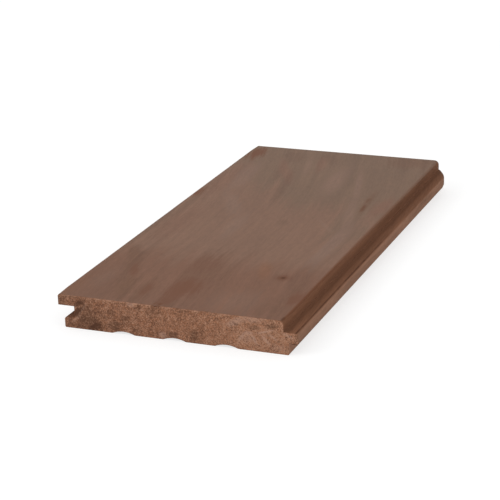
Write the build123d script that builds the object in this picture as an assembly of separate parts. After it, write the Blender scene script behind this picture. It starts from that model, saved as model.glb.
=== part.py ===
from build123d import *
import os

# Overlay floorboard: a short length of solid hardwood strip, planed all round, with a tongue along one
# edge, a groove along the other and shallow relief channels along the underside. Every form runs the
# whole length, so the board is one section pulled along the grain and sawn square at both ends.
# X runs across the board from groove to tongue, Y along the grain and Z up from the floor.
# The origin lies on the underside, in the middle of the footprint. Sizes are in millimetres.

# Stock
COVER_WIDTH = 83.0  # from the upper groove lip to the shoulder above the tongue, the width that shows
THICKNESS = 12.0
LENGTH = 190.0

# Tongue, along the +X edge, and groove, along the -X edge, share one middle height
JOINT_HEIGHT = 6.0
TONGUE_THICKNESS = 4.0
TONGUE_REACH = 5.2  # beyond the shoulder above it
TONGUE_NOSE_RADIUS = 0.9
LOWER_SHOULDER_REACH = 1.9  # the shoulder below the tongue stands beyond the one above it
GROOVE_HEIGHT = 4.2
GROOVE_DEPTH = 6.1  # from the face of the upper lip
GROOVE_ROOT_RADIUS = 0.4
LOWER_LIP_SETBACK = 2.2  # leaves a gap under the joint, so that the upper lips close first
LEAD_IN = 0.6  # bevel that guides a tongue over the lower lip

# Eased edges
TOP_ARRIS_RADIUS = 0.5
BOTTOM_ARRIS_RADIUS = 0.5

# Relief channels, along the underside
CHANNEL_COUNT = 3
CHANNEL_PITCH = 19.0
CHANNEL_WIDTH = 8.4
CHANNEL_DEPTH = 0.9
CHANNEL_MOUTH_RADIUS = 2.0

# Places that follow from the sizes above
OVERALL_WIDTH = COVER_WIDTH + TONGUE_REACH
LIP_X = -OVERALL_WIDTH / 2
LOWER_LIP_X = LIP_X + LOWER_LIP_SETBACK
GROOVE_ROOT_X = LIP_X + GROOVE_DEPTH
SHOULDER_X = LIP_X + COVER_WIDTH
LOWER_SHOULDER_X = SHOULDER_X + LOWER_SHOULDER_REACH
TONGUE_TIP_X = OVERALL_WIDTH / 2
GROOVE_FLOOR_Z = JOINT_HEIGHT - GROOVE_HEIGHT / 2
GROOVE_ROOF_Z = JOINT_HEIGHT + GROOVE_HEIGHT / 2
TONGUE_FLOOR_Z = JOINT_HEIGHT - TONGUE_THICKNESS / 2
TONGUE_ROOF_Z = JOINT_HEIGHT + TONGUE_THICKNESS / 2
UNDERSIDE_MIDDLE_X = (LOWER_LIP_X + LOWER_SHOULDER_X) / 2


def corners(section, points):
    """The section's own corners that lie at the given points."""
    return [section.vertices().sort_by_distance(Vector(*point))[0] for point in points]


def moulded_blank():
    """Section of the board with its tongue and groove, in the plane across the grain."""
    outline = Polyline(
        (LOWER_LIP_X, 0),
        (LOWER_SHOULDER_X, 0),
        (LOWER_SHOULDER_X, TONGUE_FLOOR_Z),
        (TONGUE_TIP_X, TONGUE_FLOOR_Z),
        (TONGUE_TIP_X, TONGUE_ROOF_Z),
        (SHOULDER_X, TONGUE_ROOF_Z),
        (SHOULDER_X, THICKNESS),
        (LIP_X, THICKNESS),
        (LIP_X, GROOVE_ROOF_Z),
        (GROOVE_ROOT_X, GROOVE_ROOF_Z),
        (GROOVE_ROOT_X, GROOVE_FLOOR_Z),
        (LOWER_LIP_X, GROOVE_FLOOR_Z),
        close=True,
    )
    section = make_face(outline)
    section = chamfer(corners(section, [(LOWER_LIP_X, GROOVE_FLOOR_Z)]), LEAD_IN)
    rounded = [
        (TOP_ARRIS_RADIUS, [(LIP_X, THICKNESS), (SHOULDER_X, THICKNESS)]),
        (BOTTOM_ARRIS_RADIUS, [(LOWER_LIP_X, 0), (LOWER_SHOULDER_X, 0)]),
        (TONGUE_NOSE_RADIUS, [(TONGUE_TIP_X, TONGUE_FLOOR_Z), (TONGUE_TIP_X, TONGUE_ROOF_Z)]),
        (GROOVE_ROOT_RADIUS, [(GROOVE_ROOT_X, GROOVE_FLOOR_Z), (GROOVE_ROOT_X, GROOVE_ROOF_Z)]),
    ]
    for radius, points in rounded:
        section = fillet(corners(section, points), radius)
    return section


def relieved(section):
    """The same section with its row of shallow channels, each a flat arc with soft mouth edges."""
    cutter_radius = (CHANNEL_WIDTH**2 / 4 + CHANNEL_DEPTH**2) / (2 * CHANNEL_DEPTH)
    row = GridLocations(CHANNEL_PITCH, 0, CHANNEL_COUNT, 1)
    middle = Pos(UNDERSIDE_MIDDLE_X, CHANNEL_DEPTH - cutter_radius)
    section -= middle * row * Circle(cutter_radius)
    mouth_edges = []
    for place in row:
        centre = UNDERSIDE_MIDDLE_X + place.position.X
        mouth_edges += [(centre - CHANNEL_WIDTH / 2, 0), (centre + CHANNEL_WIDTH / 2, 0)]
    return fillet(corners(section, mouth_edges), CHANNEL_MOUTH_RADIUS)


floorboard = extrude(Plane.XZ * relieved(moulded_blank()), LENGTH / 2, both=True)

os.makedirs("parts", exist_ok=True)
export_step(floorboard, "parts/floorboard.step")
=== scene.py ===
"""Dress the overlay floorboard: a moulded strip of red-brown hardwood with planed faces and sawn ends."""

import logging
import math
from collections.abc import Callable
from dataclasses import dataclass, fields
from enum import Enum
from functools import cache, reduce
from typing import Union

import bpy
from mathutils import Matrix, Vector


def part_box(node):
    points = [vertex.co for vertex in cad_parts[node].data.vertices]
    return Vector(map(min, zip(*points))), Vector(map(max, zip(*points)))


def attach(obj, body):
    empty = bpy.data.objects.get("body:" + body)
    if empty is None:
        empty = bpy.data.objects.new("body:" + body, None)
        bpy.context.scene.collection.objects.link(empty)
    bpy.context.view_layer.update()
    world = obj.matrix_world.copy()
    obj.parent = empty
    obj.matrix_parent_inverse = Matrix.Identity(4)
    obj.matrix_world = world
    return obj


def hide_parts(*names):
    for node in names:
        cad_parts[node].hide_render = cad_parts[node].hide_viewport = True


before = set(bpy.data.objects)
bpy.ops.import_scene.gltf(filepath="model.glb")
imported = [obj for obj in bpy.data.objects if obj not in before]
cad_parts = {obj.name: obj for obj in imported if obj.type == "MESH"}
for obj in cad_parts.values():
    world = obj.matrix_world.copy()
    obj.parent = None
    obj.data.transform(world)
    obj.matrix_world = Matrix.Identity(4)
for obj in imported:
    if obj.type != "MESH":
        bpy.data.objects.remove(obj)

MM = 0.001
MM_IN_METRE = 1000.0
NODE = "floorboard"
BODY = "root"
SAWN = "sawn"

log = logging.getLogger("floorboard")

Span = tuple[float, float]
Triple = tuple[float, float, float]
Colour = Triple
Value = Union[float, "Field"]


def paint(red: int, green: int, blue: int) -> Colour:
    """Turn a colour as a screen shows it, from 0 to 255, into the linear one that shaders take.

    Args:
        red: Red level.
        green: Green level.
        blue: Blue level.

    Returns:
        The three linear levels, from 0 to 1.
    """
    def linear(level: int) -> float:
        """Linear value of one level."""
        share = level / 255.0
        return share / 12.92 if share <= 0.04045 else ((share + 0.055) / 1.055) ** 2.4

    return linear(red), linear(green), linear(blue)


def maths(operation: str, swapped: bool = False) -> Callable[..., "Field"]:
    """Make a method of a field that adds one maths node.

    Args:
        operation: Blender's name for the sum.
        swapped: Whether the other number comes first.

    Returns:
        The method.
    """
    def method(self: "Field", *others: Value) -> "Field":
        """Work the sum out in the field's own tree."""
        values = (*others, self) if swapped else (self, *others)
        return self.graph.math(operation, *values)

    return method


class Field:
    """A number inside a node tree. Arithmetic on it adds the nodes that work the result out.

    A comparison gives one where it holds, else nought. Angles are in radians.
    """

    __add__ = maths("ADD")
    __radd__ = maths("ADD", swapped=True)
    __sub__ = maths("SUBTRACT")
    __rsub__ = maths("SUBTRACT", swapped=True)
    __mul__ = maths("MULTIPLY")
    __truediv__ = maths("DIVIDE")
    __pow__ = maths("POWER")
    __abs__ = maths("ABSOLUTE")
    __gt__ = maths("GREATER_THAN")
    __lt__ = maths("LESS_THAN")
    at_least = maths("MAXIMUM")
    at_most = maths("MINIMUM")
    root = maths("SQRT")
    sine = maths("SINE")
    rounded = maths("ROUND")
    sign = maths("SIGN")

    def __init__(self, graph: "Graph", socket: bpy.types.NodeSocket) -> None:
        """Keep the tree and the socket that the number comes out of."""
        self.graph = graph
        self.socket = socket

    def share(self, start: Value, end: Value) -> "Field":
        """How far it has come from start to end, held between nought and one."""
        return self.graph.step(self, start, end, "LINEAR")

    def fade(self, start: Value, end: Value) -> "Field":
        """The same with soft beginnings and ends."""
        return self.graph.step(self, start, end, "SMOOTHSTEP")


class Graph:
    """A node tree being built, with short names for the nodes that a board needs."""

    def __init__(self, tree: bpy.types.NodeTree) -> None:
        """Keep the tree that nodes are added to."""
        self.tree = tree

    @classmethod
    def blank(cls, owner: bpy.types.Material | bpy.types.World) -> "Graph":
        """Empty the node tree of a material or of the surroundings, and open it for building."""
        owner.use_nodes = True
        owner.node_tree.nodes.clear()
        return cls(owner.node_tree)

    def plug(self, socket: bpy.types.NodeSocket, value: object) -> None:
        """Give an input its value.

        Args:
            socket: The input.
            value: A field, a socket to link, or a plain value to set.
        """
        if isinstance(value, Field):
            value = value.socket
        if isinstance(value, bpy.types.NodeSocket):
            self.tree.links.new(value, socket)
        elif isinstance(value, tuple) and len(value) == 3 and socket.type == "RGBA":
            socket.default_value = (*value, 1.0)
        else:
            socket.default_value = value

    def node(self, kind: str, inputs: dict[object, object] | None = None,
             **settings: object) -> bpy.types.Node:
        """Add a node.

        Args:
            kind: Blender's name for the node.
            inputs: Values by input name or number.
            settings: Properties of the node itself.

        Returns:
            The new node.
        """
        made = self.tree.nodes.new(kind)
        for name, setting in settings.items():
            setattr(made, name, setting)
        for key, value in (inputs or {}).items():
            self.plug(made.inputs[key], value)
        return made

    def take(self, kind: str, inputs: dict[object, object] | None = None, out: object = 0,
             **settings: object) -> Field:
        """Add a node and take one of its outputs.

        Args:
            kind: Blender's name for the node.
            inputs: Values by input name or number.
            out: Name or number of the output.
            settings: Properties of the node itself.

        Returns:
            The output as a field.
        """
        return Field(self, self.node(kind, inputs, **settings).outputs[out])

    def math(self, operation: str, *values: Value) -> Field:
        """Add a sum of one kind over up to three numbers."""
        return self.take("ShaderNodeMath", dict(enumerate(values)), operation=operation)

    def step(self, value: Value, start: Value, end: Value, style: str, most: float = 1.0) -> Field:
        """Map start to end on to nought to one, or to another most.

        Args:
            value: The number to map.
            start: Where the result is nought.
            end: Where the result is greatest.
            style: Blender's name for the way between.
            most: The greatest result.

        Returns:
            The mapped number.
        """
        inputs = {"Value": value, "From Min": start, "From Max": end, "To Max": most}
        return self.take("ShaderNodeMapRange", inputs, interpolation_type=style)

    def split(self, vector: Field) -> tuple[Field, Field, Field]:
        """The three numbers of a vector."""
        x, y, z = self.node("ShaderNodeSeparateXYZ", {0: vector}).outputs
        return Field(self, x), Field(self, y), Field(self, z)

    def join(self, x: Value, y: Value, z: Value) -> Field:
        """A vector of three numbers."""
        return self.take("ShaderNodeCombineXYZ", {0: x, 1: y, 2: z})

    def dot(self, vector: Field, other: Triple) -> Field:
        """Sum of the products of two vectors' numbers."""
        return self.take("ShaderNodeVectorMath", {0: vector, 1: other}, out="Value",
                         operation="DOT_PRODUCT")

    def length(self, vector: Field) -> Field:
        """Length of a vector."""
        return self.take("ShaderNodeVectorMath", {0: vector}, out="Value", operation="LENGTH")

    def noise(self, place: Field, detail: float = 2.0, roughness: float = 0.5) -> Field:
        """Smooth noise between nought and one.

        Args:
            place: Where it is read.
            detail: Number of finer layers.
            roughness: How strong the finer layers are.

        Returns:
            The noise.
        """
        inputs = {"Vector": place, "Scale": 1.0, "Detail": detail, "Roughness": roughness}
        return self.take("ShaderNodeTexNoise", inputs)

    def cells(self, place: Field) -> Field:
        """Distance to the nearest of points scattered one to a unit cell."""
        return self.take("ShaderNodeTexVoronoi", {"Vector": place, "Scale": 1.0}, out="Distance")

    def move(self, shape: Field, **inputs: object) -> Field:
        """Move the points of a shape.

        Args:
            shape: The shape.
            inputs: The new position or the offset, and the selection, by the node's own names.

        Returns:
            The moved shape.
        """
        return self.take("GeometryNodeSetPosition", {"Geometry": shape, **inputs})

    def shade(self, colour: object, light: Field) -> Field:
        """A colour made lighter or darker."""
        made = self.node("ShaderNodeVectorMath", {"Scale": light}, operation="SCALE")
        self.plug(made.inputs[0], colour)
        return Field(self, made.outputs[0])

    def blend(self, share: Value, first: object, second: object) -> Field:
        """Mix two colours, from the first at nought to the second at one."""
        made = self.node("ShaderNodeMix", data_type="RGBA", blend_type="MIX")
        self.plug(made.inputs[0], share)
        self.plug(made.inputs[6], first)
        self.plug(made.inputs[7], second)
        return Field(self, made.outputs[2])


class Corner(Enum):
    """How a long corner of the section is taken off."""

    ROUND = "round"
    BEVEL = "bevel"


@dataclass(frozen=True)
class Section:
    """Sizes across the grain, with the length, in metres. They are the moulding knives' settings."""

    length: float
    cover_width: float = 83.0 * MM
    thickness: float = 12.0 * MM
    joint_height: float = 6.0 * MM
    tongue_thickness: float = 4.0 * MM
    tongue_reach: float = 5.2 * MM
    tongue_nose: float = 0.9 * MM
    lower_shoulder_reach: float = 1.9 * MM
    groove_height: float = 4.2 * MM
    groove_depth: float = 6.1 * MM
    lower_lip_setback: float = 2.2 * MM
    lead_in: float = 0.6 * MM
    bottom_arris: float = 0.5 * MM
    groove_arris: float = 0.30 * MM
    tongue_arris: float = 0.38 * MM
    channel_pitch: float = 19.0 * MM
    channel_width: float = 8.4 * MM
    channel_depth: float = 0.9 * MM


@dataclass(frozen=True)
class Wear:
    """Marks that sawing and handling left on the shape, in metres."""

    lip_corner: float = 0.45 * MM
    near_shoulder: float = 1.00 * MM
    far_shoulder: float = 1.50 * MM
    end_corner_run: float = 8.0 * MM
    arris_scatter: float = 0.18 * MM
    sawn_edge: float = 0.09 * MM
    kerf_depth: float = 0.035 * MM
    kerf_pitch: float = 1.15 * MM
    tear_depth: float = 0.10 * MM
    nick_depth: float = 0.35 * MM
    nick_reach: float = 1.7 * MM
    nick_across: float = -6.8 * MM
    broken_run: float = 12.6 * MM
    broken_stub: float = 0.35 * MM
    broken_bulge: float = 2.0


@dataclass
class BoardShape:
    """Geometry Nodes that run the moulded section along the board and rough up its sawn ends.

    The end is a sheet of cells in three layers of rows: the lower lip and shoulder, the web with the
    tongue, and the upper lip. Cells that fall in the groove or beyond the tongue are left out. Its rim is
    then drawn along the length, and a second end closes it.
    """

    section: Section
    wear: Wear
    material: bpy.types.Material
    columns: tuple[int, ...] = (10, 16, 250, 8, 14)
    rows_in_layer: int = 18
    steps_along: int = 80
    row_crowding: float = 0.5
    seam: float = 2e-6
    sharp_from: float = math.radians(38.0)
    blade_centre: Span = (150.0 * MM, -170.0 * MM)
    count_slack: float = 0.1
    channel_mouth: float = 0.06 * MM
    scatter_waves: Span = (60.0, 90.0)
    corner_slack: float = 1.01
    tongue_half: float = 0.51
    rim_from: Span = (0.01, 0.99)
    fibre_waves: float = 2600.0
    clump_waves: float = 700.0
    waves_along: float = 40.0
    fibre_roughness: float = 0.6
    fibre_share: float = 0.6
    clump_share: float = 0.4
    torn_from: Span = (0.62, 0.30)
    kerf_wobble: float = 0.8
    nick_height: float = 0.4 * MM
    nick_from: Span = (0.2, 0.7)
    nick_inward: float = 0.5
    near_share: float = -0.49
    softness: Span = (1.2, 0.2)

    def mesh(self) -> bpy.types.Mesh:
        """Run the tree once and keep its result as a plain mesh.

        Returns:
            The finished mesh, with its material.
        """
        tree = self.tree()
        carrier = bpy.data.objects.new("board_carrier", bpy.data.meshes.new("board_carrier"))
        bpy.context.scene.collection.objects.link(carrier)
        modifier = carrier.modifiers.new("board_shape", "NODES")
        modifier.node_group = tree
        sizes = {self.label(item.name): getattr(source, item.name)
                 for source in (self.section, self.wear) for item in fields(source)}
        sizes["Wood"] = self.material
        for socket in tree.interface.items_tree:
            if socket.in_out == "INPUT" and socket.name in sizes:
                modifier[socket.identifier] = sizes[socket.name]
        graph = bpy.context.evaluated_depsgraph_get()
        made = bpy.data.meshes.new_from_object(carrier.evaluated_get(graph), depsgraph=graph)
        bpy.data.objects.remove(carrier)
        return made

    @staticmethod
    def label(name: str) -> str:
        """Name of a size as the tree shows it."""
        return name.replace("_", " ").capitalize()

    def tree(self) -> bpy.types.NodeTree:
        """Build the tree.

        Returns:
            The node group, with one named input for each size.
        """
        tree = bpy.data.node_groups.new("moulded_board", "GeometryNodeTree")
        tree.interface.new_socket("Board", in_out="OUTPUT", socket_type="NodeSocketGeometry")
        names = [item.name for source in (self.section, self.wear) for item in fields(source)]
        for name in names:
            tree.interface.new_socket(self.label(name), in_out="INPUT", socket_type="NodeSocketFloat")
        tree.interface.new_socket("Wood", in_out="INPUT", socket_type="NodeSocketMaterial")
        g = Graph(tree)
        entry = g.node("NodeGroupInput")
        size = {name: Field(g, entry.outputs[self.label(name)]) for name in names}
        near_end = self.end_sheet(g, size)
        strip = self.drawn_rim(g, size, near_end)
        inputs = {"Geometry": near_end, "Name": SAWN, "Value": 1.0}
        near_end = g.take("GeometryNodeStoreNamedAttribute", inputs, data_type="FLOAT", domain="FACE")
        to_far = g.join(0.0, size["length"], 0.0)
        far_end = g.take("GeometryNodeTransform", {"Geometry": near_end, "Translation": to_far})
        far_end = g.take("GeometryNodeFlipFaces", {0: far_end})
        joined = g.node("GeometryNodeJoinGeometry")
        for part in (far_end, strip, near_end):
            g.plug(joined.inputs[0], part)
        inputs = {"Geometry": joined.outputs[0], "Distance": self.seam}
        shape = g.take("GeometryNodeMergeByDistance", inputs)
        shape = self.eased(g, size, shape)
        shape = self.snapped(g, size, shape)
        shape = self.crisp(g, shape)
        shape = self.roughened(g, size, shape)
        shape = g.take("GeometryNodeRealizeInstances", {0: shape})
        shape = g.take("GeometryNodeSetMaterial", {"Geometry": shape, "Material": entry.outputs["Wood"]})
        g.node("NodeGroupOutput", {0: shape})
        return tree

    def places(self, size: dict[str, Field]) -> dict[str, Field]:
        """Work out where the section's corners are.

        Args:
            size: The tree's inputs by name.

        Returns:
            Distances across the board and heights above the floor, by name.
        """
        lip = (size["cover_width"] + size["tongue_reach"]) * -0.5
        shoulder = lip + size["cover_width"]
        return {
            "lip": lip,
            "lower_lip": lip + size["lower_lip_setback"],
            "shoulder": shoulder,
            "lower_shoulder": shoulder + size["lower_shoulder_reach"],
            "tip": shoulder + size["tongue_reach"],
            "groove_floor": size["joint_height"] - size["groove_height"] * 0.5,
            "groove_roof": size["joint_height"] + size["groove_height"] * 0.5,
            "tongue_floor": size["joint_height"] - size["tongue_thickness"] * 0.5,
            "tongue_roof": size["joint_height"] + size["tongue_thickness"] * 0.5,
        }

    def end_sheet(self, g: Graph, size: dict[str, Field]) -> Field:
        """Lay the cells of the near end.

        Args:
            g: The tree.
            size: The tree's inputs by name.

        Returns:
            The near end, facing along -Y.
        """
        at = self.places(size)
        starts = [sum(self.columns[:count]) for count in range(len(self.columns) + 1)]
        layers = [self.rows_in_layer * count for count in range(4)]
        across, up = starts[-1], layers[-1]
        sheet = g.take("GeometryNodeMeshGrid", {"Size X": float(across), "Size Y": float(up),
                                                 "Vertices X": across + 1, "Vertices Y": up + 1})
        column, row, _ = g.split(g.take("GeometryNodeInputPosition"))
        column, row = column + across * 0.5, row + up * 0.5
        lower, upper = row < layers[1], row > layers[2]
        middle = 1.0 - lower - upper
        outside = (lower * ((column < starts[1]) + (column > starts[4])) + middle * (column < starts[2])
                   + upper * (column > starts[3]))
        sheet = g.take("GeometryNodeDeleteGeometry", {"Geometry": sheet, "Selection": outside},
                       domain="FACE")
        widths = (size["lower_lip_setback"], size["groove_depth"] - size["lower_lip_setback"],
                  size["cover_width"] - size["groove_depth"], size["lower_shoulder_reach"],
                  size["tongue_reach"] - size["lower_shoulder_reach"])
        x = at["lip"]
        for width, start, end in zip(widths, starts, starts[1:]):
            x = x + width * column.share(start, end)
        rise = []
        for start, end in zip(layers, layers[1:]):
            even = row.share(start, end)
            rise.append(even - (even * math.tau).sine() * (self.row_crowding / math.tau))
        side = column.share(starts[2], starts[3])
        floor = at["groove_floor"] + (at["tongue_floor"] - at["groove_floor"]) * side
        roof = at["groove_roof"] + (at["tongue_roof"] - at["groove_roof"]) * side
        z = under = self.underside(g, size, at, x)
        for low, high, share in zip((under, floor, roof), (floor, roof, size["thickness"]), rise):
            z = z + (high - low) * share
        return g.move(sheet, Position=g.join(x, size["length"] * -0.5, z))

    def underside(self, g: Graph, size: dict[str, Field], at: dict[str, Field], x: Field) -> Field:
        """Height of the underside, which is flat but for three shallow arcs.

        Args:
            g: The tree.
            size: The tree's inputs by name.
            at: The section's corners by name.
            x: Distance across the board.

        Returns:
            The height above the floor.
        """
        from_middle = x - (at["lower_lip"] + at["lower_shoulder"]) * 0.5
        nearest = (from_middle / size["channel_pitch"]).rounded().at_least(-1.0).at_most(1.0)
        off = from_middle - nearest * size["channel_pitch"]
        width, depth = size["channel_width"], size["channel_depth"]
        cutter = (width * width * 0.25 + depth * depth) / (depth * 2.0)
        arc = (cutter * cutter - off * off).at_least(0.0).root() - cutter + depth
        return g.math("SMOOTH_MAX", arc, 0.0, self.channel_mouth)

    def drawn_rim(self, g: Graph, size: dict[str, Field], end: Field) -> Field:
        """Draw the rim of the end along the length, with its rows closer together near the ends.

        Args:
            g: The tree.
            size: The tree's inputs by name.
            end: The near end.

        Returns:
            The long faces.
        """
        count = g.take("GeometryNodeInputMeshEdgeNeighbors")
        outer = g.math("COMPARE", count, 1.0, self.count_slack)
        rim = g.take("GeometryNodeMeshToCurve", {"Mesh": end, "Selection": outer})
        x, _, z = g.split(g.take("GeometryNodeInputPosition"))
        rim = g.move(rim, Position=g.join(x, z * -1.0, 0.0))
        half = size["length"] * 0.5
        path = g.take("GeometryNodeCurvePrimitiveLine", {"Start": g.join(0.0, half * -1.0, 0.0),
                                                          "End": g.join(0.0, half, 0.0)})
        path = g.take("GeometryNodeResampleCurve", {"Curve": path, "Count": self.steps_along + 1})
        along = g.take("GeometryNodeSplineParameter")
        y = half * ((along - 0.5) * math.pi).sine()
        path = g.move(path, Position=g.join(0.0, y, 0.0))
        return g.take("GeometryNodeCurveToMesh", {"Curve": path, "Profile Curve": rim})

    def eased(self, g: Graph, size: dict[str, Field], shape: Field) -> Field:
        """Take the long corners off, the upper two unevenly and more towards the ends.

        Args:
            g: The tree.
            size: The tree's inputs by name.
            shape: The board with sharp corners.

        Returns:
            The board with eased corners.
        """
        at = self.places(size)
        x, y, z = g.split(g.take("GeometryNodeInputPosition"))
        half = size["length"] * 0.5
        end = (abs(y) - half + size["end_corner_run"]).fade(0.0, size["end_corner_run"])
        waves_x, waves_y = self.scatter_waves
        scatter = (g.noise(g.join(x * waves_x, y * waves_y, 0.0)) - 0.5) * size["arris_scatter"]
        knocked = size["near_shoulder"] + (size["far_shoulder"] - size["near_shoulder"]) * (y > 0.0)
        lip = size["groove_arris"] + end * size["lip_corner"] + scatter
        shoulder = size["tongue_arris"] + end * knocked + scatter
        corners = (
            (at["lip"], size["thickness"], -1.0, 1.0, lip, Corner.ROUND),
            (at["shoulder"], size["thickness"], 1.0, 1.0, shoulder, Corner.ROUND),
            (at["lower_lip"], 0.0, -1.0, -1.0, size["bottom_arris"], Corner.ROUND),
            (at["lower_shoulder"], 0.0, 1.0, -1.0, size["bottom_arris"], Corner.ROUND),
            (at["tip"], at["tongue_floor"], 1.0, -1.0, size["tongue_nose"], Corner.ROUND),
            (at["tip"], at["tongue_roof"], 1.0, 1.0, size["tongue_nose"], Corner.ROUND),
            (at["lower_lip"], at["groove_floor"], -1.0, 1.0, size["lead_in"], Corner.BEVEL),
        )
        for corner_x, corner_z, out_x, out_z, reach, style in corners:
            s = (x - corner_x) * out_x / reach + 1.0
            t = (z - corner_z) * out_z / reach + 1.0
            inside = (s > 0.0) * (t > 0.0) * (s < self.corner_slack) * (t < self.corner_slack)
            new_x = corner_x + (s * self.kept(t, style) - 1.0) * reach * out_x
            new_z = corner_z + (t * self.kept(s, style) - 1.0) * reach * out_z
            shape = g.move(shape, Selection=inside, Position=g.join(new_x, y, new_z))
        return shape

    @staticmethod
    def kept(other: Field, style: Corner) -> Field:
        """Share of a point's way to a corner that is kept, by how far it is in the other direction."""
        if style is Corner.ROUND:
            return (1.0 - other * other * 0.5).at_least(0.0).root()
        return 1.0 - other * 0.5

    def snapped(self, g: Graph, size: dict[str, Field], shape: Field) -> Field:
        """Taper the tongue at the far end, where its corner has broken away.

        Args:
            g: The tree.
            size: The tree's inputs by name.
            shape: The board with a whole tongue.

        Returns:
            The board with the corner gone.
        """
        x, y, z = g.split(g.take("GeometryNodeInputPosition"))
        shoulder = self.places(size)["shoulder"]
        reach = size["tongue_reach"]
        gone = (y - size["length"] * 0.5 + size["broken_run"]).at_least(0.0) / size["broken_run"]
        left = reach - (reach - size["broken_stub"]) * gone ** size["broken_bulge"]
        beyond = (x - shoulder) * (left / reach)
        floor = size["joint_height"] - size["tongue_thickness"] * self.tongue_half
        tongue = (x > shoulder + self.seam) * (z > floor)
        return g.move(shape, Selection=tongue, Position=g.join(shoulder + beyond, y, z))

    def crisp(self, g: Graph, shape: Field) -> Field:
        """Shade the faces smooth but for the corners that a knife or the saw left sharp."""
        inputs = {"Geometry": shape, "Shade Smooth": True}
        shape = g.take("GeometryNodeSetShadeSmooth", inputs, domain="FACE")
        turn = g.take("GeometryNodeInputMeshEdgeAngle")
        inputs = {"Geometry": shape, "Selection": turn > self.sharp_from, "Shade Smooth": False}
        return g.take("GeometryNodeSetShadeSmooth", inputs, domain="EDGE")

    def roughened(self, g: Graph, size: dict[str, Field], shape: Field) -> Field:
        """Cut the saw's tracks and torn fibres into both ends, and the nick into the near upper edge.

        Args:
            g: The tree.
            size: The tree's inputs by name.
            shape: The board with clean ends.

        Returns:
            The board as it came off the saw.
        """
        x, y, z = g.split(g.take("GeometryNodeInputPosition"))
        sawn = g.take("GeometryNodeInputNamedAttribute", {"Name": SAWN}, data_type="FLOAT")
        inner, outer = self.rim_from
        rim = (sawn > inner) * (sawn < outer)
        along = y * self.waves_along
        grain = g.noise(g.join(x * self.fibre_waves, along, z * self.fibre_waves),
                        roughness=self.fibre_roughness)
        clumps = g.noise(g.join(x * self.clump_waves, along, z * self.clump_waves))
        reach_x, reach_z = x - self.blade_centre[0], z - self.blade_centre[1]
        reach = (reach_x * reach_x + reach_z * reach_z).root()
        turn = reach / size["kerf_pitch"] + clumps * self.kerf_wobble
        kerf = ((turn * math.tau).sine() * 0.5 + 0.5) * size["kerf_depth"]
        torn = (grain * self.fibre_share + clumps * self.clump_share).fade(*self.torn_from)
        depth = (kerf + torn * size["tear_depth"]) * sawn
        off = (x - size["nick_across"]) / size["nick_reach"]
        edge = (z - size["thickness"] + self.nick_height).fade(0.0, self.nick_height)
        edge = edge * (y < size["length"] * self.near_share)
        nick = (1.0 - off * off).at_least(0.0) * edge * grain.fade(*self.nick_from) * size["nick_depth"]
        inward = y.sign() * -1.0
        offset = g.join(0.0, inward * (depth + nick * self.nick_inward), nick * -1.0)
        shape = g.move(shape, Offset=offset)
        gain, least = self.softness
        soft = rim * size["sawn_edge"] * (clumps * gain + least) * -1.0
        normal = g.split(g.take("GeometryNodeInputNormal"))
        return g.move(shape, Offset=g.join(*(part * soft for part in normal)))


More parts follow.
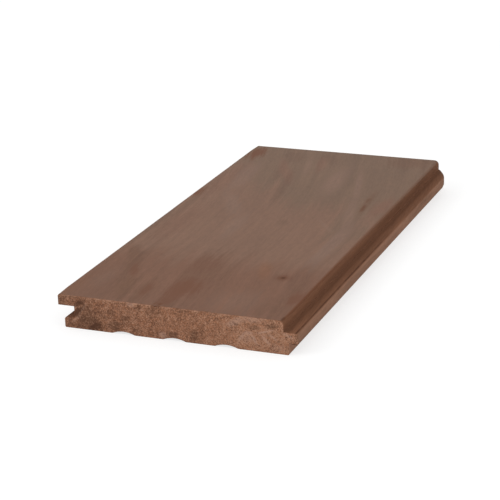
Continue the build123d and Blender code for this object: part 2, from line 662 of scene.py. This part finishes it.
@dataclass(frozen=True)
class Timber:
    """The solid grain that every finish is read from, with the place it is read at, in millimetres.

    The grain line u is the distance across the board from a fibre that starts at its middle. Fibres run
    straight in the middle, lean towards the groove in the far half and a little the other way at the
    near end.
    """

    g: Graph
    x: Field
    y: Field
    z: Field
    u: Field

    LEAN_FROM = -30.0
    LEAN_RUN = 125.0
    LEAN = 16.0
    NEAR_FROM = -50.0
    NEAR_LEAN = 0.10
    WANDER = 4.0
    WANDER_WIDTH = 33.0
    WANDER_LENGTH = 83.0
    PITH_ACROSS = 55.0
    PITH_UP = -52.0
    RING_PITCH = 3.0
    RING_LENGTH = 250.0
    RING_DETAIL = 3.0
    RING_ROUGHNESS = 0.6
    DRIFT = 1.2
    DRIFT_WIDTH = 20.0
    DRIFT_LENGTH = 167.0
    PORE_GAP = 0.53
    PORE_RUN = 7.0
    PORE_RIM = (0.20, 0.08)

    @classmethod
    def grown(cls, g: Graph) -> "Timber":
        """Lay the grain through the board.

        Args:
            g: The tree.

        Returns:
            The grain.
        """
        x, y, z = (part * MM_IN_METRE for part in g.split(g.take("ShaderNodeTexCoord", out="Object")))
        far = (y - cls.LEAN_FROM).at_least(0.0) / cls.LEAN_RUN
        place = g.join(x / cls.WANDER_WIDTH, y / cls.WANDER_LENGTH, z / cls.WANDER_WIDTH)
        wander = g.noise(place, 1.0) - 0.5
        near = (cls.NEAR_FROM - y).at_least(0.0) * cls.NEAR_LEAN
        return cls(g, x, y, z, x + far * far * cls.LEAN - near + wander * cls.WANDER)

    @cache
    def figure(self, width: float, length: float, detail: float = 2.0, roughness: float = 0.55) -> Field:
        """Noise about nought, drawn out along the grain.

        Args:
            width: How wide a streak is, in millimetres.
            length: How long it is, in millimetres.
            detail: Number of finer layers in it.
            roughness: How strong the finer layers are.

        Returns:
            The noise, within about half of one either way.
        """
        place = self.g.join(self.u / width, self.y / length, self.z / width)
        return self.g.noise(place, detail, roughness) - 0.5

    def streak(self, layer: "Streak") -> Field:
        """Noise of one layer of figure."""
        return self.figure(layer.width, layer.length, layer.detail, layer.roughness)

    @cache
    def rings(self) -> Field:
        """Uneven growth rings about the tree's heart, which lay below the tongue."""
        off_x, off_z = self.u - self.PITH_ACROSS, self.z - self.PITH_UP
        radius = (off_x * off_x + off_z * off_z).root() / self.RING_PITCH
        drift = self.figure(self.DRIFT_WIDTH, self.DRIFT_LENGTH) * self.DRIFT
        place = self.g.join(radius + drift, self.y / self.RING_LENGTH, 0.0)
        return self.g.noise(place, self.RING_DETAIL, self.RING_ROUGHNESS) - 0.5

    @cache
    def pores(self) -> Field:
        """Open vessels: dots on the ends, short dashes along the faces."""
        place = self.g.join(self.u / self.PORE_GAP, self.y / self.PORE_RUN, self.z / self.PORE_GAP)
        return self.g.cells(place).fade(*self.PORE_RIM)


@dataclass(frozen=True)
class Streak:
    """One layer of figure: its size in millimetres, and its weight in the tone and in frayed borders."""

    width: float
    length: float
    tone: float
    fray: float = 0.0
    detail: float = 2.0
    roughness: float = 0.55


@dataclass(frozen=True)
class Figure:
    """All the layers of figure that a face shows, with the share that growth rings have in its tone."""

    layers: tuple[Streak, ...]
    ring_tone: float

    def read(self, wood: Timber) -> tuple[Field, Field]:
        """Add the layers up.

        Args:
            wood: The grain.

        Returns:
            The tone and the fray, both about nought.
        """
        tone, fray = wood.rings() * self.ring_tone, 0.0
        for layer in self.layers:
            noise = wood.streak(layer)
            tone = tone + noise * layer.tone
            fray = noise * layer.fray + fray if layer.fray else fray
        return tone, fray


@dataclass(frozen=True)
class Mark:
    """A soft-edged patch, in millimetres from the board's middle.

    On the upper face the second number runs along the board, on an end it is the height. The lean is how
    far the patch drifts across for each millimetre along or up.
    """

    name: str
    across: float
    second: float
    half_width: float
    half_height: float
    strength: float
    lean: float = 0.0
    fray: float = 1.0
    blur: float = 0.45

    BORDER = 0.75

    def share(self, place: Field, fray: Field) -> Field:
        """How much of the patch shows at a place.

        Args:
            place: Distance across the board, distance along or height, and one.
            fray: Noise about nought that frays the patch's border.

        Returns:
            From nought outside it to its strength in the middle.
        """
        g = place.graph
        wide, high = self.half_width, self.half_height
        start = self.lean * self.second - self.across
        to_side = g.dot(place, (1.0 / wide, -self.lean / wide, start / wide))
        onward = g.dot(place, (0.0, 1.0 / high, -self.second / high))
        near = g.length(g.join(to_side, onward, 0.0))
        near = g.math("MULTIPLY_ADD", fray, self.fray, near)
        return g.step(near, self.BORDER + self.blur, self.BORDER - self.blur, "SMOOTHSTEP", self.strength)


@dataclass(frozen=True)
class Stain:
    """Patches of one tone."""

    tone: Colour
    marks: tuple[Mark, ...]

    def lay(self, colour: Field, across: Field, second: Field, fray: Field,
            where: Value = 1.0) -> tuple[Field, Field]:
        """Lay the patches over a colour.

        Args:
            colour: The colour without them.
            across: Distance across the board.
            second: Distance along or height.
            fray: Noise that frays their borders.
            where: One where they may show, else nought.

        Returns:
            The stained colour, and how far it is covered.
        """
        g = colour.graph
        place = g.join(across, second, 1.0)
        covered = reduce(Field.at_least, (mark.share(place, fray) for mark in self.marks)) * where
        return g.blend(covered, colour, self.tone), covered


@dataclass(frozen=True)
class PlanedFace:
    """The upper face: darkened and greyed by air and handling, redder and duller towards the near end."""

    middle: Colour = paint(121, 90, 72)
    far: Colour = paint(114, 88, 70)
    near: Colour = paint(116, 82, 64)
    pore: Colour = paint(84, 56, 42)
    pore_depth: float = 0.16
    far_border: float = 18.0
    far_slant: float = 1.10
    far_blur: float = 12.0
    near_border: Span = (-34.0, -58.0)
    near_shift: float = 0.5
    near_dullness: float = 0.80
    far_shine: float = 1.10
    shine_run: Span = (0.0, 80.0)
    stain_dullness: float = 0.70
    # Painted shade along the tongue-side arris of the upper face, standing in for the light its rounding
    # turns away; it also dulls the sheen there.
    arris_shade_band: Span = (37.3, 38.7)
    worn_run: Span = (95.0, -50.0)
    worn_share: Span = (0.30, 0.95)
    worn: Colour = paint(110, 73, 54)
    cloud: Streak = Streak(14.0, 45.0, 0.20, 60.0, 3.0, 0.6)
    finger: Streak = Streak(4.0, 60.0, 0.0, 55.0)
    figure: Figure = Figure((
        Streak(3.3, 83.0, 0.32, 1.6),
        Streak(1.2, 38.0, 0.15, 0.6),
        Streak(0.45, 9.0, 0.18, 0.7),
        Streak(0.67, 3.3, 0.34, 0.6),
        Streak(2.2, 9.0, 0.12, 0.4),
    ), 0.10)
    grey: Stain = Stain(paint(114, 88, 70), (
        Mark("right_grey", 27.0, 0.0, 6.0, 26.0, 0.9, -0.15),
        Mark("edge_grey", 36.0, -4.0, 3.5, 14.0, 0.8),
    ))
    dim: Stain = Stain(paint(106, 79, 62), (
        Mark("left_edge_dim", -41.5, 5.0, 4.5, 50.0, 0.55),
        Mark("inner_streak_dim", -12.0, 38.0, 3.2, 22.0, 0.6, -0.20),
        Mark("far_middle_dim", -6.0, 84.0, 6.0, 11.0, 0.6, -0.2),
        Mark("far_left_dim", -22.5, 84.0, 5.5, 13.0, 0.75, -0.2),
        Mark("grey_path_dim", -20.0, 60.0, 3.4, 15.0, 0.5, -0.25),
        Mark("middle_dim", 3.8, -1.0, 2.0, 4.5, 0.6),
    ))
    brown: Stain = Stain(paint(108, 76, 57), (
        Mark("far_right_brown", 29.0, 88.0, 11.0, 10.0, 0.6),
        Mark("near_middle_brown", -3.5, -61.0, 9.5, 25.0, 0.6, -0.1, 0.7),
        Mark("near_right_brown", 35.5, -78.0, 4.5, 18.0, 0.45),
        Mark("near_right_low_brown", 28.5, -87.0, 3.0, 9.0, 0.45),
        Mark("left_streak_far", -37.0, -48.0, 4.2, 11.0, 0.85, -0.45, 0.6),
        Mark("left_streak_middle", -30.0, -63.0, 4.2, 16.0, 0.85, -0.40, 0.6),
        Mark("left_streak_near", -24.8, -80.0, 5.0, 18.0, 1.0, -0.20, 0.6),
        Mark("left_branch", -16.8, -84.0, 4.4, 15.0, 0.85, -0.05, 0.6),
        Mark("near_edge_brown", -4.0, -91.5, 5.0, 6.0, 0.7),
    ))
    pale: Stain = Stain(paint(126, 97, 81), (
        Mark("far_left_pale", -32.5, 52.0, 4.5, 24.0, 0.75, -0.08),
        Mark("left_bend_pale", -23.5, 15.0, 4.5, 18.0, 0.7, -0.50),
        Mark("middle_pale", -13.0, -10.0, 4.5, 17.0, 0.7, -0.08),
        Mark("far_thin_pale", -12.0, 72.0, 1.8, 18.0, 0.4, -0.22),
        Mark("far_middle_pale", 6.0, 53.0, 4.8, 23.0, 0.7, -0.10),
        Mark("arc_far_pale", 17.0, 52.0, 2.2, 25.0, 0.7, -0.25),
        Mark("arc_middle_pale", 25.5, 14.0, 2.4, 25.0, 0.7, -0.21),
        Mark("arc_near_pale", 29.5, -22.0, 3.6, 24.0, 1.0, 0.02),
        Mark("cross_pale", 20.5, 0.0, 1.8, 9.0, 0.5, -0.7),
        Mark("near_left_pale", -36.0, -75.0, 4.0, 13.0, 0.25),
        Mark("near_right_pale", 18.0, -83.0, 11.0, 14.0, 0.35),
    ))
    bare: Stain = Stain(paint(119, 85, 67), (
        Mark("far_slant_bare", -19.5, 64.0, 3.4, 19.0, 0.7, -0.45),
        Mark("far_middle_bare", -7.0, 76.0, 3.4, 12.0, 0.7, -0.2),
        Mark("right_bare", 35.0, 28.0, 4.0, 15.0, 0.9),
        Mark("left_bare", -35.0, -12.0, 8.0, 26.0, 0.6),
        Mark("left_far_bare", -38.5, 43.0, 5.5, 30.0, 0.55),
    ))
    amber: Stain = Stain(paint(126, 85, 60), (
        Mark("knot_side_amber", 16.0, -52.0, 3.4, 11.0, 0.55, -0.3, 0.6),
        Mark("near_corner_amber", -42.0, -86.0, 3.0, 12.0, 0.30),
    ))
    red: Stain = Stain(paint(112, 75, 57), (
        Mark("near_middle_red", -3.9, -77.0, 8.0, 14.0, 0.85, 0.05, 0.7),
        Mark("near_middle_red_tail", -4.8, -86.0, 4.4, 12.0, 0.75, 0.15, 0.6),
        Mark("left_streak_red", -28.3, -66.0, 2.6, 9.0, 0.7, -0.3, 0.6),
        Mark("left_branch_red", -16.3, -82.0, 2.6, 10.0, 0.7, -0.1, 0.6),
        Mark("middle_brown", -6.0, -53.0, 7.0, 12.0, 0.4),
        Mark("near_right_red", 37.0, -75.0, 3.5, 8.0, 0.8),
        Mark("left_edge_red", -43.4, 25.0, 3.4, 9.0, 1.0),
        Mark("far_left_red", -40.0, 84.0, 4.8, 11.0, 0.95),
    ))
    gum: Stain = Stain(paint(98, 58, 36), (
        Mark("gum_streak", 27.5, 30.5, 2.0, 17.0, 0.25, -0.08, 0.5),
        Mark("gum_far", 26.9, 34.0, 1.2, 5.0, 0.45, -0.05, 0.5),
        Mark("gum_near", 27.9, 24.5, 1.2, 6.0, 0.65, -0.08, 0.5),
        Mark("knot_halo", 25.0, -57.4, 3.2, 3.4, 0.7, 0.0, 0.4, 0.7),
    ))
    knot: Stain = Stain(paint(74, 42, 25), (
        Mark("knot_heart", 25.0, -57.4, 0.95, 1.1, 0.75, 0.0, 0.3),
        # Painted shade at the near tongue-side corner of the upper face, where the worn arris turns away
        # from the light; the other mark is the real knot.
        Mark("shoulder_corner_shade", 38.2, -92.8, 0.6, 1.8, 0.45, 0.0, 0.3),
    ))

    def dress(self, wood: Timber) -> tuple[Field, Field]:
        """Colour and sheen at any place on the face.

        Args:
            wood: The grain.

        Returns:
            The colour, and the sheen as a share of the face's gloss.
        """
        g, x, y = wood.g, wood.x, wood.y
        cloud = wood.streak(self.cloud)
        tone, fray = self.figure.read(wood)
        shift = cloud * self.cloud.fray + wood.streak(self.finger) * self.finger.fray
        border = (x * -self.far_slant).at_least(0.0) + self.far_border
        colour = g.blend((y - border + shift).fade(-self.far_blur, self.far_blur), self.middle, self.far)
        near = (y + shift * self.near_shift).fade(*self.near_border)
        colour = g.blend(near, colour, self.near)
        for patch in (self.grey, self.dim, self.brown, self.bare, self.pale, self.amber):
            colour, _ = patch.lay(colour, x, y, fray)
        colour = g.shade(colour, tone + cloud * self.cloud.tone + 1.0)
        # Painted shade on the tongue-side arris, stronger towards the near end.
        least, most = self.worn_share
        worn = x.fade(*self.arris_shade_band) * (y.share(*self.worn_run) * (most - least) + least)
        colour = g.blend(worn, colour, self.worn)
        dull = worn.at_least(near * (1.0 - self.near_dullness))
        for stain in (self.red, self.gum, self.knot):
            colour, covered = stain.lay(colour, x, y, fray)
            dull = dull.at_least(covered * self.stain_dullness)
        sheen = (y.fade(*self.shine_run) * (self.far_shine - 1.0) + 1.0) * (1.0 - dull)
        return g.blend(wood.pores() * self.pore_depth, colour, self.pore), sheen


@dataclass(frozen=True)
class MouldedEdge:
    """The tongue, the groove and the underside: fresher wood from the knives, with painted shade on the
    tongue's upper face towards the shoulder, a dark line along the tongue's tip, and painted light in the
    crease, on the nose and under the tongue.
    """

    wood: Colour = paint(116, 79, 58)
    # Painted light on the tongue's nose, standing in for the bounce from the floor below it.
    rubbed: Colour = paint(136, 100, 80)
    # Painted light on the lower shoulder face under the tongue, lifting the shade that falls there.
    sheltered: Colour = paint(158, 118, 96)
    # Tone for the painted shade in the tongue's inner corner and for the dark line along the tongue's tip.
    grime: Colour = paint(72, 45, 32)
    pore: Colour = paint(70, 44, 32)
    pore_depth: float = 0.35
    shoulder: float = 38.9
    shoulder_clearance: float = 0.05
    lower_shoulder: float = 40.6
    # Painted shade on the tongue's upper face, deepening towards the shoulder.
    corner_shade: float = 0.28
    corner_reach: Span = (41.6, 40.2)
    # Painted light in the crease between the shoulder and the tongue's upper face, lifting the shade there.
    dust: Colour = paint(136, 97, 74)
    dust_share: float = 0.45
    dust_reach: Span = (1.5, 0.2)
    # A dark dashed line along the tongue's upper tip edge, strongest in the near half.
    line_across: float = 43.2
    line_half: Span = (0.50, 0.10)
    tip_line_strength: Span = (0.4, 0.75)
    line_stops: Span = (30.0, -10.0)
    dash: Streak = Streak(2.0, 7.0, 0.0)
    dash_from: Span = (-0.14, 0.10)
    # The edges grow lighter towards the near end.
    fresh: float = 0.13
    fresh_run: Span = (-68.0, -90.0)
    tongue_roof: float = 8.0
    tongue_from: float = 7.4
    tongue_floor: float = 4.05
    nose: Span = (43.45, 43.95)
    figure: Figure = Figure((Streak(3.3, 83.0, 0.7, 120.0), Streak(0.45, 9.0, 0.5)), 0.35)

    def colour(self, wood: Timber) -> Field:
        """Colour at any place on an edge or underneath.

        Args:
            wood: The grain.

        Returns:
            The colour.
        """
        g, x = wood.g, wood.x
        tone, fray = self.figure.read(wood)
        below = (x > self.lower_shoulder) * (wood.z < self.tongue_floor)
        colour = g.shade(self.wood, wood.y.fade(*self.fresh_run) * self.fresh + 1.0)
        # Painted light on the tongue's nose.
        colour = g.blend(x.fade(*self.nose), colour, self.rubbed)
        # Painted light on the shaded face under the tongue.
        colour = g.blend(below, colour, self.sheltered)
        colour = g.shade(colour, tone + 1.0)
        tongue = (x > self.shoulder + self.shoulder_clearance) * (wood.z > self.tongue_from)
        corner = x.fade(*self.corner_reach) * self.corner_shade
        least, most = self.tip_line_strength
        dashes = wood.streak(self.dash).fade(*self.dash_from) * (most - least) + least
        stops = (wood.y + fray).fade(*self.line_stops)
        line = abs(x - self.line_across).fade(*self.line_half) * stops * dashes
        # Painted shade towards the tongue's inner corner, and the dark tip line.
        colour = g.blend(corner.at_least(line) * tongue, colour, self.grime)
        # Painted light in the crease of the tongue's inner corner.
        from_corner = g.length(g.join(x - self.shoulder, wood.z - self.tongue_roof, 0.0))
        colour = g.blend(from_corner.fade(*self.dust_reach) * self.dust_share, colour, self.dust)
        return g.blend(wood.pores() * self.pore_depth, colour, self.pore)


@dataclass(frozen=True)
class SawnEnd:
    """The ends: cut vessels and torn fibres, paler towards the tongue, with the near end's own marks."""

    left: Colour = paint(126, 88, 68)
    middle: Colour = paint(135, 95, 73)
    right: Colour = paint(149, 109, 86)
    left_border: Span = (-24.0, 8.0)
    right_border: Span = (6.0, 28.0)
    shade: Colour = paint(85, 58, 46)
    light: Colour = paint(173, 132, 108)
    warm: Colour = paint(156, 105, 76)
    warm_share: float = 0.75
    warm_from: Span = (-0.08, 0.20)
    fleck: Streak = Streak(0.75, 20.0, 0.0)
    shade_from: Span = (0.0, 1.05)
    light_from: Span = (0.0, 0.95)
    pore_depth: float = 0.15
    # Frayed fibres along the end's upper edge, drawn partly as a painted highlight in the light tone.
    frayed_from: Span = (11.2, 11.9)
    frayed: float = 0.8
    tuft: Streak = Streak(2.2, 20.0, 0.0)
    tuft_from: Span = (-0.12, 0.20)
    figure: Figure = Figure((
        Streak(0.38, 20.0, 3.1, 0.0, 1.0, 0.6),
        Streak(0.67, 20.0, 2.0, 0.9, 2.0, 0.7),
        Streak(1.54, 20.0, 1.2, 0.8),
        Streak(4.5, 20.0, 0.6),
    ), 0.35)
    dark: Stain = Stain(paint(74, 48, 36), (
        Mark("root_band_top", -36.0, 9.5, 2.0, 2.1, 0.75, 1.10, 0.6),
        Mark("root_band_low", -37.2, 5.9, 1.7, 2.6, 0.85, 0.70, 0.5),
        Mark("low_wedge", -30.0, 1.5, 2.9, 2.2, 0.75, 0.7, 0.4, 0.3),
        Mark("nick_shade", -6.9, 11.8, 2.3, 0.6, 0.6, 0.0, 0.3, 0.3),
        Mark("nick_line", -6.5, 11.05, 2.4, 0.3, 0.45, 0.0, 0.4),
        # Painted shade along the tongue's lower edge on the end, where it faces down.
        Mark("tongue_under_shade", 42.8, 4.0, 2.2, 0.5, 0.85, 0.0, 0.2, 0.3),
    ))
    dim_damp: float = 0.6
    dim: Stain = Stain(paint(96, 68, 52), (
        Mark("lip_dim", -42.8, 9.8, 3.0, 2.4, 0.70, 0.0, 1.0, 0.6),
        Mark("lip_edge_dim", -41.0, 11.7, 5.0, 0.9, 0.70, 0.0, 0.5),
        Mark("root_zone", -34.4, 7.7, 4.2, 3.2, 0.65, 0.5, 0.8, 0.6),
        Mark("left_zone", -33.0, 3.8, 6.4, 5.6, 0.80, -0.3, 0.8, 0.6),
        Mark("lower_lip_dim", -35.5, 1.3, 6.0, 1.8, 0.60, 0.0, 0.8),
        Mark("left_blob", -22.8, 2.5, 3.6, 2.3, 0.75, 0.0, 1.4, 0.6),
        Mark("inner_left_blob", -18.6, 5.8, 2.3, 2.0, 0.55, 0.0, 1.4, 0.6),
        Mark("left_inner_spot", -27.0, 5.3, 2.4, 1.7, 0.50, 0.0, 1.4, 0.6),
        Mark("left_high_spot", -23.8, 7.4, 1.5, 1.2, 0.55, 0.0, 1.4, 0.6),
        Mark("lower_left_spot", -15.0, 2.4, 2.4, 1.7, 0.50, 0.0, 1.4, 0.6),
        Mark("upper_left_spot", -13.5, 10.4, 1.6, 1.5, 0.55, 0.0, 1.4, 0.6),
        Mark("upper_middle_spot", -8.6, 9.4, 3.6, 2.2, 0.50, 0.0, 1.4, 0.6),
        Mark("upper_right_spot", 2.0, 11.0, 1.8, 1.3, 0.50, 0.0, 1.4, 0.6),
        Mark("middle_blob", -1.0, 2.0, 2.6, 1.7, 0.80, 0.0, 1.4, 0.6),
        Mark("right_blob", 6.9, 2.6, 2.8, 2.8, 0.70, 0.0, 1.4, 0.6),
        Mark("upper_lens", 34.7, 9.6, 2.4, 1.2, 0.75, 0.5, 1.0),
        Mark("inner_lens", 28.4, 8.4, 2.5, 1.2, 0.60, 0.4, 1.0),
        Mark("tongue_tip", 43.7, 5.9, 1.2, 2.4, 0.60, 0.0, 0.8),
    ))
    pale: Stain = Stain(paint(170, 136, 118), (
        Mark("upper_left_pale", -16.3, 11.2, 1.7, 1.1, 0.6),
        Mark("lower_middle_pale", -4.8, 1.6, 1.8, 1.4, 0.65),
        Mark("root_line_pale", -34.8, 7.4, 0.6, 3.4, 0.25, 0.75, 0.5),
        Mark("lower_line_pale", -37.5, 3.5, 0.8, 2.0, 0.40, 1.05, 0.5),
        Mark("arch_left", 21.8, 9.6, 2.6, 2.4, 0.62, 1.2, 0.6),
        Mark("arch_top", 27.6, 11.2, 5.2, 1.3, 0.45, 0.0, 0.6),
        Mark("inner_arch_left", 24.1, 4.6, 1.0, 2.2, 0.7, 0.7, 0.6),
        Mark("inner_arch_top", 26.3, 6.1, 2.2, 0.9, 0.7, 0.0, 0.6),
        Mark("inner_arch_right", 28.5, 4.2, 0.9, 2.2, 0.75, -0.55, 0.6),
        Mark("inner_arch_heart", 26.2, 4.2, 2.6, 2.0, 0.35),
        Mark("rising_line", 32.6, 7.4, 1.4, 1.3, 0.7, 2.7, 0.6),
        Mark("falling_line", 32.6, 4.4, 1.0, 2.2, 0.7, -0.8, 0.6),
        Mark("outer_falling_line", 35.1, 5.7, 1.0, 1.3, 0.6, -1.2, 0.6),
        Mark("low_right_pale", 37.0, 2.0, 3.2, 1.6, 0.3),
        Mark("tongue_pale", 40.7, 6.8, 1.3, 1.1, 0.6, -1.5, 0.6),
    ))

    def colour(self, wood: Timber) -> Field:
        """Colour at any place on an end.

        Args:
            wood: The grain.

        Returns:
            The colour.
        """
        g, x, z = wood.g, wood.x, wood.z
        tone, fray = self.figure.read(wood)
        colour = g.blend(x.fade(*self.left_border), self.left, self.middle)
        colour = g.blend(x.fade(*self.right_border), colour, self.right)
        near = wood.y < 0.0
        flecks = wood.streak(self.fleck).fade(*self.warm_from)
        colour = g.blend(flecks * self.warm_share, colour, self.warm)
        colour, dimmed = self.dim.lay(colour, x, z, fray, near)
        colour, _ = self.pale.lay(colour, x, z, fray, near)
        colour = g.blend((tone * -1.0).share(*self.shade_from), colour, self.shade)
        lit = 1.0 - dimmed * self.dim_damp
        colour = g.blend(tone.share(*self.light_from) * lit, colour, self.light)
        # Painted highlight on the frayed fibres of the upper edge, damped where the end is dimmed.
        tufts = wood.streak(self.tuft).fade(*self.tuft_from) * lit
        colour = g.blend((z + fray).fade(*self.frayed_from) * tufts * self.frayed, colour, self.light)
        colour, _ = self.dark.lay(colour, x, z, fray, near)
        return g.blend(wood.pores() * self.pore_depth, colour, self.shade)


@dataclass(frozen=True)
class HardwoodFinish:
    """The wood: one solid grain that shows as streaks on the faces and as cut vessels on the ends."""

    face: PlanedFace = PlanedFace()
    edge: MouldedEdge = MouldedEdge()
    end: SawnEnd = SawnEnd()
    face_roughness: float = 0.64
    raw_roughness: float = 0.78
    face_gloss: float = 0.18
    raw_gloss: float = 0.06
    face_from: Span = (11.2, 11.9)
    fibre: Streak = Streak(0.45, 9.0, 0.006)
    tear: Streak = Streak(0.25, 2.0, 0.08)
    pore_depth: float = 0.006

    def material(self) -> bpy.types.Material:
        """Build the material.

        Returns:
            The finished material.
        """
        made = bpy.data.materials.new("planed_hardwood")
        g = Graph.blank(made)
        wood = Timber.grown(g)
        sawn = g.take("ShaderNodeAttribute", out="Fac", attribute_name=SAWN)
        top = wood.z.fade(*self.face_from) * (1.0 - sawn)
        face, sheen = self.face.dress(wood)
        colour = g.blend(top, self.edge.colour(wood), face)
        colour = g.blend(sawn, colour, self.end.colour(wood))
        rough = top * (self.face_roughness - self.raw_roughness) + self.raw_roughness
        gloss = top * (sheen * self.face_gloss - self.raw_gloss) + self.raw_gloss
        height = self.relief(wood, sawn)
        bump = g.take("ShaderNodeBump", {"Height": height, "Distance": MM, "Strength": 1.0})
        looks = {"Base Color": colour, "Roughness": rough, "Normal": bump, "Specular IOR Level": gloss}
        shader = g.node("ShaderNodeBsdfPrincipled", looks)
        g.node("ShaderNodeOutputMaterial", {"Surface": shader.outputs[0]})
        return made

    def relief(self, wood: Timber, sawn: Field) -> Field:
        """Height of the finest grain.

        Args:
            wood: The grain.
            sawn: One on a sawn end, nought elsewhere.

        Returns:
            The height, in millimetres.
        """
        planed = wood.streak(self.fibre) * self.fibre.tone - wood.pores() * self.pore_depth
        torn = wood.streak(self.tear) * self.tear.tone
        return planed * (1.0 - sawn) + torn * sawn


@dataclass
class Board:
    """The one piece of the object: the dressed board that stands for the moulded solid."""

    finish: HardwoodFinish
    wear: Wear
    name: str = "hardwood_board"

    def build(self) -> bpy.types.Object:
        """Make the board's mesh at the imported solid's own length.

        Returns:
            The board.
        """
        low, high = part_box(NODE)
        shape = BoardShape(Section(length=high.y - low.y), self.wear, self.finish.material())
        piece = bpy.data.objects.new(self.name, shape.mesh())
        bpy.context.scene.collection.objects.link(piece)
        return piece

    def dress(self, piece: bpy.types.Object) -> None:
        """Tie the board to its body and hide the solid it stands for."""
        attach(piece, BODY)
        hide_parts(NODE)


@dataclass(frozen=True)
class Viewpoint:
    """Where the photograph was taken from, in metres and degrees."""

    place: Triple = (0.22212, -0.57352, 0.22004)
    turn: float = 22.079
    tilt: float = 19.655
    roll: float = -1.747
    lens: float = 121.51
    sensor: float = 36.0
    nearest: float = 0.01
    farthest: float = 100.0

    def set_up(self) -> bpy.types.Object:
        """Make the scene's camera.

        Returns:
            The camera.
        """
        turn, tilt, roll = (math.radians(angle) for angle in (self.turn, self.tilt, self.roll))
        ahead = Vector((-math.sin(turn) * math.cos(tilt), math.cos(turn) * math.cos(tilt), -math.sin(tilt)))
        level = Vector((math.cos(turn), math.sin(turn), 0.0))
        upward = level.cross(ahead)
        right = level * math.cos(roll) + upward * math.sin(roll)
        top = upward * math.cos(roll) - level * math.sin(roll)
        data = bpy.data.cameras.new("viewpoint")
        data.lens, data.sensor_width = self.lens, self.sensor
        data.clip_start, data.clip_end = self.nearest, self.farthest
        camera = bpy.data.objects.new("viewpoint", data)
        axes = Matrix((right, top, -ahead)).transposed()
        camera.matrix_world = Matrix.Translation(self.place) @ axes.to_4x4()
        bpy.context.scene.collection.objects.link(camera)
        bpy.context.scene.camera = camera
        return camera


@dataclass(frozen=True)
class Lamp:
    """A soft square lamp that looks at the middle of the board."""

    name: str
    place: Triple
    width: float
    power: float

    def hang(self) -> bpy.types.Object:
        """Put the lamp in the scene.

        Returns:
            The lamp.
        """
        data = bpy.data.lights.new(self.name, "AREA")
        data.size, data.energy = self.width, self.power
        lamp = bpy.data.objects.new(self.name, data)
        lamp.location = self.place
        lamp.rotation_euler = Vector(self.place).to_track_quat("Z", "Y").to_euler()
        bpy.context.scene.collection.objects.link(lamp)
        return lamp


@dataclass
class Studio:
    """A plain white sweep with soft light from the front left."""

    floor_half: float = 4.0
    floor_tone: Colour = (0.92, 0.92, 0.92)
    floor_glow: float = 0.71
    floor_shade: float = 0.35
    sky: float = 0.85
    lamps: tuple[Lamp, ...] = (Lamp("key_lamp", (-0.9, -0.9, 0.8), 0.7, 5.0),)

    def build(self) -> None:
        """Set the floor, the sky, the lamps and the colour transform."""
        bpy.context.scene.view_settings.view_transform = "Standard"
        self.lay_floor()
        self.paint_sky()
        for lamp in self.lamps:
            lamp.hang()

    def seen(self, g: Graph) -> Field:
        """One for rays that look at the background or mirror it, nought for those that light things."""
        path = g.node("ShaderNodeLightPath")
        seen = Field(g, path.outputs["Is Camera Ray"])
        for name in ("Is Glossy Ray", "Is Transmission Ray"):
            seen = seen.at_least(Field(g, path.outputs[name]))
        return seen

    def lay_floor(self) -> None:
        """Make the floor: white to look at, with the board's shadow, and see-through from below."""
        half = self.floor_half
        mesh = bpy.data.meshes.new("floor")
        mesh.from_pydata([(-half, -half, 0.0), (half, -half, 0.0), (half, half, 0.0), (-half, half, 0.0)],
                         [], [(0, 1, 2, 3)])
        floor = bpy.data.objects.new("floor", mesh)
        bpy.context.scene.collection.objects.link(floor)
        material = bpy.data.materials.new("white_sweep")
        mesh.materials.append(material)
        g = Graph.blank(material)
        plain = g.node("ShaderNodeBsdfDiffuse", {"Color": self.floor_tone})
        shaded = g.node("ShaderNodeBsdfDiffuse", {"Color": (self.floor_shade,) * 3})
        glow = g.node("ShaderNodeEmission", {"Strength": self.floor_glow})
        white = g.node("ShaderNodeAddShader", {0: shaded.outputs[0], 1: glow.outputs[0]})
        front = g.node("ShaderNodeMixShader", {0: self.seen(g), 1: plain.outputs[0], 2: white.outputs[0]})
        clear = g.node("ShaderNodeBsdfTransparent")
        back = g.take("ShaderNodeNewGeometry", out="Backfacing")
        both = g.node("ShaderNodeMixShader", {0: back, 1: front.outputs[0], 2: clear.outputs[0]})
        g.node("ShaderNodeOutputMaterial", {"Surface": both.outputs[0]})

    def paint_sky(self) -> None:
        """Make the surroundings: white to look at, dimmer as a light."""
        world = bpy.data.worlds.new("white_room")
        bpy.context.scene.world = world
        g = Graph.blank(world)
        strength = self.seen(g) * (1.0 - self.sky) + self.sky
        sky = g.node("ShaderNodeBackground", {"Color": (1.0, 1.0, 1.0), "Strength": strength})
        g.node("ShaderNodeOutputWorld", {"Surface": sky.outputs[0]})


def main() -> None:
    """Build the board and its studio."""
    logging.basicConfig(level=logging.INFO, format="%(name)s: %(message)s")
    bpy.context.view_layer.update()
    board = Board(HardwoodFinish(), Wear())
    piece = board.build()
    board.dress(piece)
    log.info("%s: %d triangles", piece.name, sum(len(face.vertices) - 2 for face in piece.data.polygons))
    Viewpoint().set_up()
    Studio().build()


if __name__ == "__main__":
    main()
